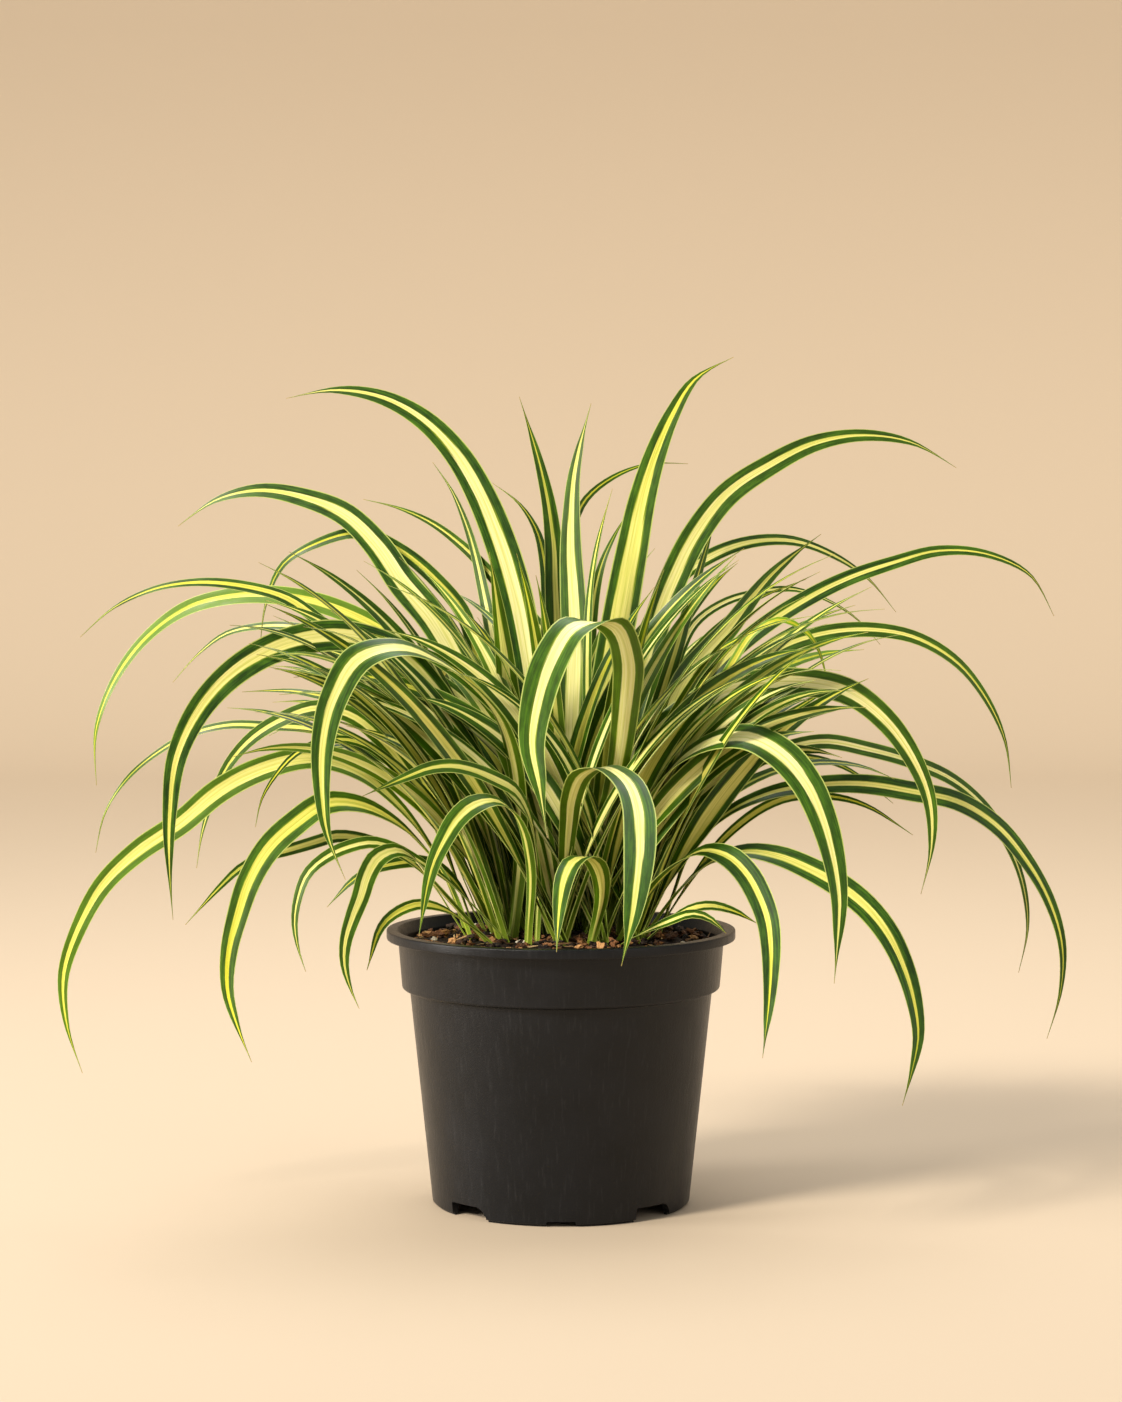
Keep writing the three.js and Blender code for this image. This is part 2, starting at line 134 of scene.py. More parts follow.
def cut(target, cutters):
    """Takes each cutter out of the target, and removes the cutters."""
    for cutter in cutters:
        modifier = target.modifiers.new("cut", "BOOLEAN")
        modifier.operation = "DIFFERENCE"
        modifier.solver = "EXACT"
        modifier.object = cutter
        with bpy.context.temp_override(object=target, active_object=target):
            bpy.ops.object.modifier_apply(modifier=modifier.name)
        bpy.data.objects.remove(cutter)


def prism(name, outline, near, far, angle):
    """A flat outline of (y, z) points pushed from radius near to radius far, then turned about Z."""
    count = len(outline)
    vertices = [(near, y, z) for y, z in outline] + [(far, y, z) for y, z in outline]
    faces = [list(range(count))[::-1], list(range(count, 2 * count))]
    faces += [[k, (k + 1) % count, count + (k + 1) % count, count + k] for k in range(count)]
    made = object_from(name, vertices, faces, smooth=False)
    made.data.transform(Matrix.Rotation(angle, 4, "Z"))
    return made


floor_top = FLOOR_UNDERSIDE + POT_WALL
inner_foot = WALL_FOOT_RADIUS - POT_WALL
pot_outline = fillet([
    (0, FLOOR_UNDERSIDE, 0),
    (WALL_FOOT_RADIUS - 4.0 * MM, FLOOR_UNDERSIDE, 1.2 * MM),
    (WALL_FOOT_RADIUS - 3.4 * MM, 0, 0.3 * MM),
    (WALL_FOOT_RADIUS - FOOT_INSET, 0, 0.3 * MM),
    (WALL_FOOT_RADIUS - FOOT_INSET, FOOT_HEIGHT, 0.2 * MM),
    (WALL_FOOT_RADIUS, FOOT_HEIGHT, 0.5 * MM),
    (STEP_RADIUS, BAND_FOOT_Z - 0.9 * MM, 1.0 * MM),
    (BAND_FOOT_RADIUS, BAND_FOOT_Z, 1.5 * MM),
    (BAND_TOP_RADIUS, POT_HEIGHT - LIP_HEIGHT, 0.9 * MM),
    (RIM_RADIUS, POT_HEIGHT - LIP_HEIGHT, 0.8 * MM),
    (RIM_RADIUS, POT_HEIGHT, 0.8 * MM),
    (RIM_OPENING, POT_HEIGHT, 0.6 * MM),
    (BAND_TOP_RADIUS - POT_WALL, POT_HEIGHT - LIP_HEIGHT - 0.6 * MM, 2.0 * MM),
    (BAND_FOOT_RADIUS - POT_WALL, BAND_FOOT_Z + 1.6 * MM, 1.0 * MM),
    (STEP_RADIUS - POT_WALL, BAND_FOOT_Z - 1.6 * MM, 1.0 * MM),
    (inner_foot + 0.1 * MM, floor_top, 1.2 * MM),
    (0, floor_top, 0),
])
pot = lathe("pot_shell", pot_outline, POT_SEGMENTS)

# The tall notches stand between the low ones. A tall one has a square and a slanted upper corner.
TALL_NOTCH_WIDTH = 23 * MM
TALL_NOTCH_HEIGHT = 6.8 * MM
LOW_NOTCH_WIDTH = 14 * MM
LOW_NOTCH_HEIGHT = 2.6 * MM
NOTCH_COUNT = 4
NOTCH_CHAMFER = 0.6 * MM
SLANT_WIDTH = 5 * MM
SLANT_SHOULDER = 2.2 * MM
DRAIN_HOLE_RADIUS = 5 * MM
DRAIN_RING = 44 * MM

notch_near = WALL_FOOT_RADIUS - 5.4 * MM
notch_far = WALL_FOOT_RADIUS + 4 * MM
below = -2 * MM
cutters = []
for i in range(NOTCH_COUNT):
    quarter = 2 * math.pi * i / NOTCH_COUNT
    between = quarter + math.pi / 4
    side = TALL_NOTCH_WIDTH / 2
    top = TALL_NOTCH_HEIGHT
    slant = [(-side, below), (side, below), (side, top * 0.35), (side - SLANT_SHOULDER, top * 0.8),
             (side - SLANT_WIDTH, top), (-side + NOTCH_CHAMFER, top), (-side, top - NOTCH_CHAMFER)]
    cutters.append(prism("notch", slant, notch_near, notch_far, between))
    side = LOW_NOTCH_WIDTH / 2
    top = LOW_NOTCH_HEIGHT
    arch = [(-side, below), (side, below), (side, top - NOTCH_CHAMFER), (side - NOTCH_CHAMFER, top),
            (-side + NOTCH_CHAMFER, top), (-side, top - NOTCH_CHAMFER)]
    cutters.append(prism("notch", arch, notch_near, notch_far, quarter))
    hole = lathe("hole", [(0, FLOOR_UNDERSIDE - 1 * MM), (DRAIN_HOLE_RADIUS, FLOOR_UNDERSIDE - 1 * MM),
                          (DRAIN_HOLE_RADIUS, floor_top + 1 * MM), (0, floor_top + 1 * MM)], 24)
    middle = (DRAIN_RING * math.cos(between), DRAIN_RING * math.sin(between), 0)
    hole.data.transform(Matrix.Translation(middle))
    cutters.append(hole)
cut(pot, cutters)
pot.data.shade_smooth()
pot.data.set_sharp_from_angle(angle=math.radians(32))


def linear(hex_colour):
    """An sRGB hex colour as linear red, green, blue and alpha."""
    channels = [int(hex_colour[i:i + 2], 16) / 255 for i in (1, 3, 5)]
    return [c / 12.92 if c <= 0.04045 else ((c + 0.055) / 1.055) ** 2.4 for c in channels] + [1.0]


def add_node(tree, kind, inputs=None, **settings):
    """A new node with its settings, and each input given a value or linked to another node's output."""
    node = tree.nodes.new(kind)
    for name, value in settings.items():
        setattr(node, name, value)
    for socket, value in (inputs or {}).items():
        if isinstance(value, bpy.types.NodeSocket):
            tree.links.new(value, node.inputs[socket])
        else:
            node.inputs[socket].default_value = value
    return node


def new_material(name):
    """A material with only its output and its surface shader; returns it, its tree and the shader."""
    made = bpy.data.materials.new(name)
    made.use_nodes = True
    shader = made.node_tree.nodes["Principled BSDF"]
    return made, made.node_tree, shader


# Injection-moulded polypropylene: satin from a fine spark-eroded grain about 0.8 mm across, with
# faint upright scuffs, which are lighter and duller, and a slow cloudy change of tone.
POT_GRAIN = 0.8 * MM
SCUFF_WIDTH = 1.6 * MM
SCUFF_STRETCH = 0.07
TONE_PATCH = 26 * MM

pot_plastic, tree, shader = new_material("moulded_polypropylene")
place = add_node(tree, "ShaderNodeTexCoord").outputs["Object"]
grain = add_node(tree, "ShaderNodeTexNoise",
                 {"Vector": place, "Scale": 1 / POT_GRAIN, "Detail": 3.0, "Roughness": 0.6})
scuff_place = add_node(tree, "ShaderNodeMapping", {"Vector": place, "Scale": (1.0, 1.0, SCUFF_STRETCH)})
scuffs = add_node(tree, "ShaderNodeTexNoise",
                  {"Vector": scuff_place.outputs[0], "Scale": 1 / SCUFF_WIDTH, "Detail": 5.0,
                   "Roughness": 0.62})
scuff_mask = add_node(tree, "ShaderNodeMapRange",
                      {"Value": scuffs.outputs[0], "From Min": 0.56, "From Max": 0.74})
cloud = add_node(tree, "ShaderNodeTexNoise",
                 {"Vector": place, "Scale": 1 / TONE_PATCH, "Detail": 4.0, "Roughness": 0.55})
cloud_mask = add_node(tree, "ShaderNodeMapRange",
                      {"Value": cloud.outputs[0], "From Min": 0.35, "From Max": 0.7})
charcoal = add_node(tree, "ShaderNodeMix",
                    {0: cloud_mask.outputs[0], 6: linear("#0d0f12"), 7: linear("#131519")},
                    data_type="RGBA")
scuff_share = add_node(tree, "ShaderNodeMath", {0: scuff_mask.outputs[0], 1: 0.35},
                       operation="MULTIPLY")
scuffed = add_node(tree, "ShaderNodeMix",
                   {0: scuff_share.outputs[0], 6: charcoal.outputs[2], 7: linear("#323233")},
                   data_type="RGBA")
dullness = add_node(tree, "ShaderNodeMapRange",
                    {"Value": scuffs.outputs[0], "From Min": 0.3, "From Max": 0.75,
                     "To Min": 0.3, "To Max": 0.46})
relief = add_node(tree, "ShaderNodeBump",
                  {"Height": grain.outputs[0], "Strength": 0.9, "Distance": 0.14 * MM})
tree.links.new(scuffed.outputs[2], shader.inputs["Base Color"])
tree.links.new(dullness.outputs[0], shader.inputs["Roughness"])
tree.links.new(relief.outputs[0], shader.inputs["Normal"])
shader.inputs["IOR"].default_value = 1.49
shader.inputs["Specular IOR Level"].default_value = 0.26

pot.data.materials.append(pot_plastic)
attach(pot, "root")
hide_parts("pot")


# ==== Potting mix ====
# Dark, moist peat and composted bark that fills the pot to just under the rim and mounds up a
# little to the clump. One closed body with a crumbly top; loose chips and grains lie on it.

mix_low, mix_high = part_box("potting_mix")
MIX_RADIUS = mix_high.x + 0.2 * MM
MIX_CENTRE_Z = mix_high.z
MIX_EDGE_Z = mix_high.z - 4.5 * MM
CLUMP_RADIUS = 50 * MM
MIX_RING_STEP = 1.1 * MM
MIX_SPOKES = 260
CRUMB = 3.2 * MM
CLOD = 9 * MM
FINE = 1.3 * MM


def mix_height(x, y):
    """Height of the mix's crumbly top surface."""
    radius = math.hypot(x, y)
    share = min(1, max(0, (radius - CLUMP_RADIUS) / (MIX_RADIUS - CLUMP_RADIUS)))
    level = MIX_CENTRE_Z + (MIX_EDGE_Z - MIX_CENTRE_Z) * share * share * (3 - 2 * share)
    clods = noise.noise(Vector((x, y, 0.3)) / CLOD) * 1.5 * MM
    crumbs = noise.noise(Vector((x, y, 1.7)) / CRUMB) * 0.9 * MM
    fines = noise.noise(Vector((x, y, 5.1)) / FINE) * 0.45 * MM
    return level + clods + crumbs + fines


ring_count = int(MIX_RADIUS / MIX_RING_STEP)
vertices = [(0, 0, mix_height(0, 0))]
for i in range(1, ring_count + 1):
    radius = MIX_RADIUS * i / ring_count
    for k in range(MIX_SPOKES):
        angle = 2 * math.pi * k / MIX_SPOKES
        x, y = radius * math.cos(angle), radius * math.sin(angle)
        vertices.append((x, y, mix_height(x, y)))
faces = [[0, 1 + k, 1 + (k + 1) % MIX_SPOKES] for k in range(MIX_SPOKES)]
for i in range(1, ring_count):
    ring, following = 1 + (i - 1) * MIX_SPOKES, 1 + i * MIX_SPOKES
    for k in range(MIX_SPOKES):
        m = (k + 1) % MIX_SPOKES
        faces.append([ring + k, following + k, following + m, ring + m])
# Under the visible top the mix is a plain plug down to the pot's floor.
plug = [(MIX_RADIUS - 1 * MM, BAND_FOOT_Z + 3 * MM),
        (STEP_RADIUS - POT_WALL - 0.6 * MM, BAND_FOOT_Z - 3 * MM),
        (inner_foot - 1.0 * MM, floor_top + 1.5 * MM), (inner_foot - 3 * MM, mix_low.z)]
ring = 1 + (ring_count - 1) * MIX_SPOKES
for radius, z in plug:
    following = len(vertices)
    for k in range(MIX_SPOKES):
        angle = 2 * math.pi * k / MIX_SPOKES
        vertices.append((radius * math.cos(angle), radius * math.sin(angle), z))
    for k in range(MIX_SPOKES):
        m = (k + 1) % MIX_SPOKES
        faces.append([ring + k, following + k, following + m, ring + m])
    ring = following
faces.append([ring + k for k in range(MIX_SPOKES)][::-1])
mix = object_from("potting_mix_body", vertices, faces)

# Moist peat and bark fines: nearly black brown, matt, with paler specks about 2 mm apart.
mix_material, tree, shader = new_material("moist_bark_and_peat")
place = add_node(tree, "ShaderNodeTexCoord").outputs["Object"]
specks = add_node(tree, "ShaderNodeTexNoise",
                  {"Vector": place, "Scale": 1 / (2.2 * MM), "Detail": 6.0, "Roughness": 0.7})
mix_tone = add_node(tree, "ShaderNodeValToRGB", {0: specks.outputs[0]})
ramp = mix_tone.color_ramp
ramp.elements[0].position, ramp.elements[0].color = 0.34, linear("#120b07")
ramp.elements[1].position, ramp.elements[1].color = 0.78, linear("#3c2716")
middle = ramp.elements.new(0.56)
middle.color = linear("#1d110a")
relief = add_node(tree, "ShaderNodeBump",
                  {"Height": specks.outputs[0], "Strength": 0.8, "Distance": 0.8 * MM})
tree.links.new(mix_tone.outputs[0], shader.inputs["Base Color"])
tree.links.new(relief.outputs[0], shader.inputs["Normal"])
shader.inputs["Roughness"].default_value = 0.82
shader.inputs["Specular IOR Level"].default_value = 0.3

mix.data.materials.append(mix_material)
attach(mix, "root")
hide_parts("potting_mix")


# ==== Bark chips, fibres and perlite on the mix ====
# Loose bits that come to the top: flat torn chips of composted bark, thin wood fibres and white
# puffed perlite grains. The chips and fibres lie on the mix, and the perlite is half sunk in it.

CHIP_COUNT = 760
PERLITE_COUNT = 38
FIBRE_COUNT = 150
LITTER_INNER = 20 * MM
LUMP_DETAIL = 2

rng = random.Random(7)


def litter_spot():
    """A point on the mix between the clump's middle and the wall."""
    angle = rng.uniform(0, 2 * math.pi)
    radius = math.sqrt(rng.uniform(LITTER_INNER ** 2, (MIX_RADIUS - 2.5 * MM) ** 2))
    x, y = radius * math.cos(angle), radius * math.sin(angle)
    return Vector((x, y, mix_height(x, y)))


def add_lump(mesh, size, spot, roughness, tint, layer):
    """One torn or puffed grain: a rough ball squashed to size, turned and set at the spot."""
    turned = Matrix.Rotation(rng.uniform(0, 2 * math.pi), 4, "Z")
    tipped = Matrix.Rotation(rng.uniform(-0.8, 0.8), 4, "X")
    tipped = tipped @ Matrix.Rotation(rng.uniform(-0.4, 0.4), 4, "Y")
    ball = bmesh.ops.create_icosphere(mesh, subdivisions=LUMP_DETAIL, radius=0.5)
    offset = Vector((rng.uniform(0, 50), rng.uniform(0, 50), rng.uniform(0, 50)))
    for vertex in ball["verts"]:
        bump = 1 + roughness * noise.noise(vertex.co * 3.1 + offset)
        vertex.co = Vector(vertex.co[k] * bump * size[k] for k in range(3))
        vertex.co = turned @ tipped @ vertex.co + spot
    for face in {f for v in ball["verts"] for f in v.link_faces}:
        face.smooth = False
        for loop in face.loops:
            loop[layer] = (tint, tint, tint, 1)


def litter_object(name, material):
    """An empty mesh with a tint for each grain, and the function that turns it into a piece."""
    mesh = bmesh.new()
    layer = mesh.loops.layers.float_color.new("tint")

    def finish():
        made = object_from(name, [], [])
        mesh.to_mesh(made.data)
        mesh.free()
        made.data.materials.append(material)
        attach(made, "root")

    return mesh, layer, finish


def tinted_material(name, stops, grain_size, roughness):
    """A matt material whose colour runs through the stops by each grain's tint and a fine noise."""
    made, tree, shader = new_material(name)
    place = add_node(tree, "ShaderNodeTexCoord").outputs["Object"]
    tint = add_node(tree, "ShaderNodeAttribute", attribute_name="tint").outputs["Fac"]
    fine = add_node(tree, "ShaderNodeTexNoise",
                    {"Vector": place, "Scale": 1 / grain_size, "Detail": 3.0})
    spread = add_node(tree, "ShaderNodeMapRange",
                      {"Value": fine.outputs[0], "From Min": 0.3, "From Max": 0.7,
                       "To Min": -0.18, "To Max": 0.18})
    shade = add_node(tree, "ShaderNodeMath", {0: tint, 1: spread.outputs[0]},
                     operation="ADD", use_clamp=True)
    tone = add_node(tree, "ShaderNodeValToRGB", {0: shade.outputs[0]})
    ramp = tone.color_ramp
    ramp.elements[0].color = linear(stops[0])
    ramp.elements[1].color = linear(stops[-1])
    for i in range(1, len(stops) - 1):
        ramp.elements.new(i / (len(stops) - 1)).color = linear(stops[i])
    relief = add_node(tree, "ShaderNodeBump",
                      {"Height": fine.outputs[0], "Strength": 0.6, "Distance": 0.3 * MM})
    tree.links.new(tone.outputs[0], shader.inputs["Base Color"])
    tree.links.new(relief.outputs[0], shader.inputs["Normal"])
    shader.inputs["Roughness"].default_value = roughness
    return made


# Composted pine bark: dark to tan, matt, with a grain about 0.8 mm wide where it tore.
bark = tinted_material("composted_bark", ["#170e08", "#38210f", "#744722", "#b98a55"], 0.8 * MM, 0.8)
# Dry wood fibre: pale straw strands.
fibre = tinted_material("wood_fibre", ["#5a3d22", "#a07a4c", "#c9ad7d"], 0.6 * MM, 0.75)
# Puffed volcanic glass: off-white, matt and pitted at about half a millimetre.
puffed = tinted_material("puffed_perlite", ["#a39a88", "#d9cfba", "#f0e9da"], 0.5 * MM, 0.85)

mesh, layer, finish = litter_object("bark_chips", bark)
for _ in range(CHIP_COUNT):
    length = (1.8 + 5.5 * rng.random() ** 1.7) * MM
    size = (length, length * rng.uniform(0.4, 0.8), length * rng.uniform(0.25, 0.55))
    spot = litter_spot() + Vector((0, 0, 0.3 * length))
    add_lump(mesh, size, spot, roughness=0.9, tint=rng.random() ** 1.5, layer=layer)
finish()

mesh, layer, finish = litter_object("perlite_grains", puffed)
for _ in range(PERLITE_COUNT):
    length = rng.uniform(1.6, 4.2) * MM
    size = (length, length * rng.uniform(0.7, 1), length * rng.uniform(0.6, 0.9))
    spot = litter_spot() + Vector((0, 0, 0.5 * MM))
    add_lump(mesh, size, spot, roughness=0.6, tint=rng.random(), layer=layer)
finish()

mesh, layer, finish = litter_object("wood_fibres", fibre)
for _ in range(FIBRE_COUNT):
    length = rng.uniform(5, 15) * MM
    size = (length, rng.uniform(0.6, 1.3) * MM, rng.uniform(0.5, 1.0) * MM)
    spot = litter_spot() + Vector((0, 0, 0.7 * MM))
    add_lump(mesh, size, spot, roughness=0.5, tint=rng.random(), layer=layer)
finish()


# ==== Leaves ====
# Each leaf is one long blade, folded to a channel at its base and flatter further out, with fine
# parallel veins. It is green at both margins with a wide cream to yellow stripe down the middle,
# and ends in a thin dry tip. It grows from the clump, and its run is that of its own solid.

BLADE_THICKNESS = 0.45 * MM
TIP_HALF_WIDTH = 0.12 * MM
TIP_STARTS = 0.90  # share of the length where the blade draws to its fine tip
MARGIN_CURL = 0.5  # how far the margins bend back, over the depth of the channel
BOWL_POWER = 1.25
CURL_POWER = 3.5
RIPPLE = 0.35 * MM
RIPPLE_LENGTH = 22 * MM


def solid_rings(node):
    """The rings of four corners along a leaf's solid, from the soil to the tip."""
    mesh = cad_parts[node].data
    keys, merged = {}, []
    index_of = []
    for vertex in mesh.vertices:
        key = tuple(round(c * 2e5) for c in vertex.co)
        if key not in keys:
            keys[key] = len(merged)
            merged.append(vertex.co.copy())
        index_of.append(keys[key])
    neighbours = [set() for _ in merged]
    for edge in mesh.edges:
        a, b = (index_of[v] for v in edge.vertices)
        if a != b:
            neighbours[a].add(b)
            neighbours[b].add(a)
    lowest = min(v.z for v in merged if math.hypot(v.x, v.y) < CLUMP_RADIUS + 10 * MM)
    near = [i for i, v in enumerate(merged)
            if v.z < lowest + 0.05 * MM and math.hypot(v.x, v.y) < CLUMP_RADIUS + 12 * MM]
    rings, seen = [near], set(near)
    while True:
        following = {n for i in rings[-1] for n in neighbours[i]} - seen
        if not following:
            break
        rings.append(sorted(following))
        seen |= following
    return [[merged[i] for i in ring] for ring in rings]


def ring_frames(rings):
    """For each ring: the midrib point, the half width vector to the right and the lift of the edges."""
    frames = []
    last_side = None
    for ring in rings:
        pairs = [(a, b) for i, a in enumerate(ring) for b in ring[i + 1:]]
        left, right = max(pairs, key=lambda pair: (pair[0] - pair[1]).length)
        if last_side and (right - left).dot(last_side) < 0:
            left, right = right, left
        last_side = right - left
        rest = [v for v in ring if v is not left and v is not right]
        midrib = sum(rest, Vector()) / len(rest)
        frames.append((midrib, (right - left) / 2, (left + right) / 2 - midrib))
    return frames


def catmull(values, position):
    """The smooth value at a fractional place in a list of vectors."""
    i = min(int(position), len(values) - 2)
    t = position - i
    p0 = values[max(i - 1, 0)]
    p1, p2 = values[i], values[i + 1]
    p3 = values[min(i + 2, len(values) - 1)]
    return 0.5 * (2 * p1 + (p2 - p0) * t + (2 * p0 - 5 * p1 + 4 * p2 - p3) * t ** 2
                  + (3 * p1 - p0 - 3 * p2 + p3) * t ** 3)


def smooth_share(value, low, high):
    """0 below low, 1 above high, smooth between."""
    t = min(1, max(0, (value - low) / (high - low)))
    return t * t * (3 - 2 * t)


class Blade:
    """One leaf as rows of cross-sections, with what its material needs to know."""

    def __init__(self, rows, columns, length, stripe, gold, depth, seed):
        self.rows, self.columns, self.length = rows, columns, length
        self.stripe, self.gold, self.depth, self.seed = stripe, gold, depth, seed


def blade_from_frames(frames, columns, row_step, stripe, gold, depth, seed):
    """A blade whose rows follow the frames, closer together, with a curved section and fine tip."""
    points = [f[0] for f in frames]
    sides = [f[1] for f in frames]
    lifts = [f[2] for f in frames]
    length = sum((b - a).length for a, b in zip(points, points[1:]))
    count = max(12, int(length / row_step))
    last = len(frames) - 1
    rows = []
    for i in range(count + 1):
        share = i / count
        place = share * last
        centre = catmull(points, place)
        side = catmull(sides, place)
        lift = catmull(lifts, place)
        tangent = catmull(points, min(place + 0.05, last)) - catmull(points, max(place - 0.05, 0))
        across = side.normalized()
        normal = across.cross(tangent).normalized()
        if normal.dot(lift) < 0:
            normal = -normal
        narrowing = 1 - smooth_share(share, TIP_STARTS, 1)
        half = TIP_HALF_WIDTH + (side.length - TIP_HALF_WIDTH) * narrowing
        fold = lift.length * narrowing
        wave = noise.noise(Vector((share * length / RIPPLE_LENGTH, seed * 9.1, 0)))
        ripple = RIPPLE * wave * narrowing
        top, bottom = [], []
        for k in range(columns):
            u = -1 + 2 * k / (columns - 1)
            bowl = abs(u) ** BOWL_POWER * (1 + MARGIN_CURL) - MARGIN_CURL * abs(u) ** CURL_POWER
            height = fold * bowl + ripple * u
            thickness = BLADE_THICKNESS * (0.45 + 0.55 * (1 - abs(u))) * (0.5 + 0.5 * narrowing)
            point = centre + across * (half * u) + normal * height
            top.append(point + normal * thickness / 2)
            bottom.append(point - normal * thickness / 2)
        rows.append((top, bottom, half, share))
    return Blade(rows, columns, length, stripe, gold, depth, seed)


def blades_object(name, blades):
    """One piece made of closed blades. Each keeps its numbers for the material and its own UV strip."""
    vertices, faces, corner_uvs = [], [], []
    keys = ("across", "across_mm", "along_mm", "share", "stripe", "gold", "depth", "seed", "under")
    data = {key: [] for key in keys}
    strip = 1 / len(blades)
    cap = 0.008
    for number, blade in enumerate(blades):
        start = len(vertices)
        columns = blade.columns
        around = 2 * columns
        row_count = len(blade.rows)
        for top, bottom, half, share in blade.rows:
            for under, points in ((0, top), (1, bottom[::-1])):
                for k, point in enumerate(points):
                    u = -1 + 2 * k / (columns - 1)
                    u = -u if under else u
                    vertices.append(point)
                    values = (u, u * half / MM, share * blade.length / MM, share,
                              blade.stripe, blade.gold, blade.depth, blade.seed, under)
                    for key, value in zip(data, values):
                        data[key].append(value)
        left, right = (number + 0.01) * strip, (number + 0.99) * strip
        low, high = cap * 1.5, 1 - cap * 1.5
        for i in range(row_count - 1):
            a, b = start + i * around, start + (i + 1) * around
            v0 = low + (high - low) * i / (row_count - 1)
            v1 = low + (high - low) * (i + 1) / (row_count - 1)
            for k in range(around):
                m = (k + 1) % around
                u0 = left + (right - left) * k / around
                u1 = left + (right - left) * (k + 1) / around
                faces.append([a + k, b + k, b + m, a + m])
                corner_uvs += [(u0, v0), (u0, v1), (u1, v1), (u1, v0)]
        for row, v0, v1 in ((0, 0.0, cap), (row_count - 1, 1 - cap, 1.0)):
            a = start + row * around
            for k in range(columns - 1):
                u0 = left + (right - left) * k / columns
                u1 = left + (right - left) * (k + 1) / columns
                face = [a + k, a + k + 1, a + around - 2 - k, a + around - 1 - k]
                uv = [(u0, v0), (u1, v0), (u1, v1), (u0, v1)]
                if row:
                    face, uv = face[::-1], uv[::-1]
                faces.append(face)
                corner_uvs += uv
    made = object_from(name, vertices, faces)
    mesh = made.data
    for key, values in data.items():
        column = mesh.attributes.new(key, "FLOAT", "POINT")
        column.data.foreach_set("value", np.array(values, np.float32))
    layer = mesh.uv_layers.new(name="OFBake")
    layer.uv.foreach_set("vector", np.array(corner_uvs, np.float32).ravel())
    mesh.set_sharp_from_angle(angle=math.radians(50))
    return made


# Living sedge blade: a waxy, faintly ribbed skin over soft tissue that lets some light through. The
# veins are about 0.7 mm apart; the stripe breaks into fine streaks where it meets the green.
VEIN_SPACING = 0.7  # millimetres, as the numbers each blade carries are

leaf_skin, tree, shader = new_material("striped_leaf_skin")


def attribute(name):
    """The output that carries one of the blade's own numbers."""
    return add_node(tree, "ShaderNodeAttribute", attribute_name=name).outputs["Fac"]


def maths(operation, a, b=0.0, clamp=False):
    """The result of one sum on numbers or outputs."""
    return add_node(tree, "ShaderNodeMath", {0: a, 1: b},
                    operation=operation, use_clamp=clamp).outputs[0]


def mixed(share, a, b):
    """Colour a blended towards colour b."""
    return add_node(tree, "ShaderNodeMix", {0: share, 6: a, 7: b}, data_type="RGBA").outputs[2]


def ramped(value, low, high, to_low=0.0, to_high=1.0):
    """The value taken from one range to another, smoothly."""
    return add_node(tree, "ShaderNodeMapRange",
                    {"Value": value, "From Min": low, "From Max": high,
                     "To Min": to_low, "To Max": to_high},
                    interpolation_type="SMOOTHSTEP").outputs[0]


across = attribute("across")
across_mm = attribute("across_mm")
along_mm = attribute("along_mm")
share = attribute("share")
seed = attribute("seed")
under = attribute("under")
gold = attribute("gold")
depth = attribute("depth")
seed_far = maths("MULTIPLY", seed, 71.0)

# Streaks run the whole length of the blade, so their noise is stretched 60 times along it.
streak_place = add_node(tree, "ShaderNodeCombineXYZ",
                        {0: across_mm, 1: maths("MULTIPLY", along_mm, 1 / 60), 2: seed_far}).outputs[0]
streaks = add_node(tree, "ShaderNodeTexNoise",
                   {"Vector": streak_place, "Scale": 1 / VEIN_SPACING, "Detail": 2.5,
                    "Roughness": 0.65}).outputs[0]
wide_streaks = add_node(tree, "ShaderNodeTexNoise",
                        {"Vector": streak_place, "Scale": 0.28 / VEIN_SPACING, "Detail": 2.0}).outputs[0]
mottle_place = add_node(tree, "ShaderNodeCombineXYZ",
                        {0: across_mm, 1: maths("MULTIPLY", along_mm, 0.25), 2: seed_far}).outputs[0]
mottle = add_node(tree, "ShaderNodeTexNoise",
                  {"Vector": mottle_place, "Scale": 0.35, "Detail": 4.0, "Roughness": 0.6}).outputs[0]
drift_place = add_node(tree, "ShaderNodeCombineXYZ",
                       {0: seed_far, 1: maths("MULTIPLY", along_mm, 0.02)}).outputs[0]
drift = add_node(tree, "ShaderNodeTexNoise",
                 {"Vector": drift_place, "Scale": 1.0, "Detail": 1.0}).outputs[0]

wander = maths("MULTIPLY", maths("SUBTRACT", drift, 0.5), 0.22)
distance = maths("ABSOLUTE", maths("ADD", across, wander))
edge = maths("ADD", distance, maths("MULTIPLY", maths("SUBTRACT", wide_streaks, 0.5), 0.34))
edge = maths("ADD", edge, maths("MULTIPLY", maths("SUBTRACT", streaks, 0.5), 0.16))
# The stripe is narrower on the standing foot of the blade, and narrower and yellower at the tip.
widening = maths("MULTIPLY", ramped(share, 0.03, 0.42, 0.62, 1.12),
                 ramped(share, 0.45, 0.97, 1.0, 0.45))
stripe_half = maths("MULTIPLY", attribute("stripe"), widening)
gold = maths("ADD", gold, ramped(share, 0.6, 0.97, 0.0, 0.4), clamp=True)
beyond = maths("SUBTRACT", edge, stripe_half)
green_share = ramped(beyond, -0.03, 0.03)

